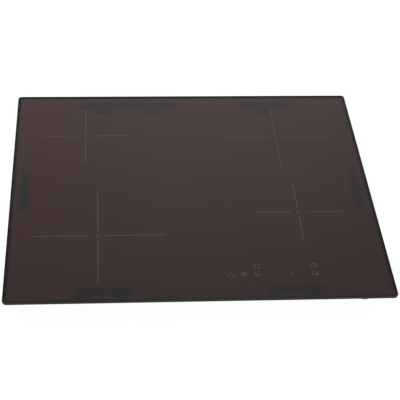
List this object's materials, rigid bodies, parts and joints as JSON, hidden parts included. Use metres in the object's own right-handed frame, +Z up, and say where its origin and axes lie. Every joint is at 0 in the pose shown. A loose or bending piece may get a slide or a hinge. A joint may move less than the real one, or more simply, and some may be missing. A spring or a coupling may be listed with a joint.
{
  "type": "induction cooktop",
  "caption": "Built-in electric induction hob: dark glass plate with marked round cooking zones over a slim pressed steel tray that drops into a worktop cut-out.",
  "frame": {"origin": "centre of the underside of the housing tray, under the middle of the glass plate", "axes": "+Z up, +Y to the back edge (away from the user), +X to the right; the touch controls are at the front right"},
  "size_m": [0.59, 0.52, 0.044],
  "materials": {
    "blower_plastic": "moulded plastic",
    "bonding_silicone": "cured silicone adhesive",
    "bracket_steel": "zinc-plated sheet",
    "capacitor_case": "plastic case",
    "carrier_plastic": "moulded glass-filled plastic",
    "choke_core": "ferrite core with windings",
    "circuit_board": "solder mask on laminate",
    "control_plastic": "moulded frame",
    "copper_litz": "varnished stranded copper",
    "display_window": "LED display face",
    "ferrite": "sintered ferrite",
    "foam_gasket": "closed-cell foam tape",
    "former_plastic": "moulded heat-resistant plastic",
    "glass_ceramic": "polished dark tinted glass-ceramic",
    "heatsink_aluminium": "extruded",
    "impeller_plastic": "moulded plastic",
    "mica": "pressed mica sheet",
    "plate_aluminium": "mill finish sheet",
    "screw_steel": "zinc-plated",
    "sensor_ceramic": "ceramic sensor head",
    "spring_steel": "stainless spring strip",
    "stator_iron": "lamination stack with windings",
    "terminal_block_plastic": "moulded plastic",
    "terminal_brass": "nickel-plated",
    "terminal_plastic": "moulded plastic",
    "touch_foam": "conductive foam",
    "transistor_case": "moulded package",
    "tray_steel": "hot-dip galvanised sheet"
  },
  "bodies": {
    "hob": {"blower_housing": "blower_plastic", "blower_stator": "stator_iron", "bonding_pads": "bonding_silicone", "bracket_front_left": "bracket_steel", "bracket_front_right": "bracket_steel", "bracket_rear_left": "bracket_steel", "bracket_rear_right": "bracket_steel", "bracket_screws": "screw_steel", "bracket_side_left": "bracket_steel", "bracket_side_right": "bracket_steel", "coil_former_front_left": "former_plastic", "coil_former_front_right": "former_plastic", "coil_former_rear_left": "former_plastic", "coil_former_rear_right": "former_plastic", "coil_plate_left": "plate_aluminium", "coil_plate_right": "plate_aluminium", "coil_plate_springs": "spring_steel", "coil_windings": "copper_litz", "control_board": "circuit_board", "control_carrier": "control_plastic", "electronics_carrier_left": "carrier_plastic", "electronics_carrier_right": "carrier_plastic", "ferrite_bars_front_left": "ferrite", "ferrite_bars_front_right": "ferrite", "ferrite_bars_rear_left": "ferrite", "ferrite_bars_rear_right": "ferrite", "film_capacitors": "capacitor_case", "filter_board": "circuit_board", "filter_capacitors": "capacitor_case", "filter_choke": "choke_core", "glass_plate": "glass_ceramic", "heatsink_left": "heatsink_aluminium", "heatsink_right": "heatsink_aluminium", "housing_tray": "tray_steel", "level_displays": "display_window", "mica_sheet_front_left": "mica", "mica_sheet_front_right": "mica", "mica_sheet_rear_left": "mica", "mica_sheet_rear_right": "mica", "power_board_left": "circuit_board", "power_board_right": "circuit_board", "power_transistors": "transistor_case", "temperature_sensors": "sensor_ceramic", "terminal_block": "terminal_block_plastic", "terminal_box": "terminal_plastic", "terminal_screws": "terminal_brass", "touch_pads": "touch_foam", "worktop_gasket": "foam_gasket"},
    "impeller": {"blower_impeller": "impeller_plastic"},
    "cover": {"terminal_cover": "terminal_plastic"},
    "clip_front_left": {"clip_spring_front_left": "spring_steel"},
    "clip_front_right": {"clip_spring_front_right": "spring_steel"},
    "clip_rear_left": {"clip_spring_rear_left": "spring_steel"},
    "clip_rear_right": {"clip_spring_rear_right": "spring_steel"}
  },
  "joints": [
    {"name": "impeller_spin", "type": "hinge", "parent": "hob", "child": "impeller", "pos_m": [0, 0.0307, 0.0123], "axis": [0, 0, 1], "continuous": true},
    {"name": "cover_hinge", "type": "hinge", "parent": "hob", "child": "cover", "pos_m": [0.036, 0.2238, 0.0077], "axis": [-1, 0, 0], "range_deg": [0, 90]},
    {"name": "clip_flex_front_left", "type": "hinge", "parent": "hob", "child": "clip_front_left", "pos_m": [-0.2686, -0.125, 0.0278], "axis": [0, -1, 0], "range_deg": [0, 15], "stiffness_Nm_per_rad": 1},
    {"name": "clip_flex_front_right", "type": "hinge", "parent": "hob", "child": "clip_front_right", "pos_m": [0.2686, -0.125, 0.0278], "axis": [0, 1, 0], "range_deg": [0, 15], "stiffness_Nm_per_rad": 1},
    {"name": "clip_flex_rear_left", "type": "hinge", "parent": "hob", "child": "clip_rear_left", "pos_m": [-0.2686, 0.125, 0.0278], "axis": [0, -1, 0], "range_deg": [0, 15], "stiffness_Nm_per_rad": 1},
    {"name": "clip_flex_rear_right", "type": "hinge", "parent": "hob", "child": "clip_rear_right", "pos_m": [0.2686, 0.125, 0.0278], "axis": [0, 1, 0], "range_deg": [0, 15], "stiffness_Nm_per_rad": 1}
  ]
}
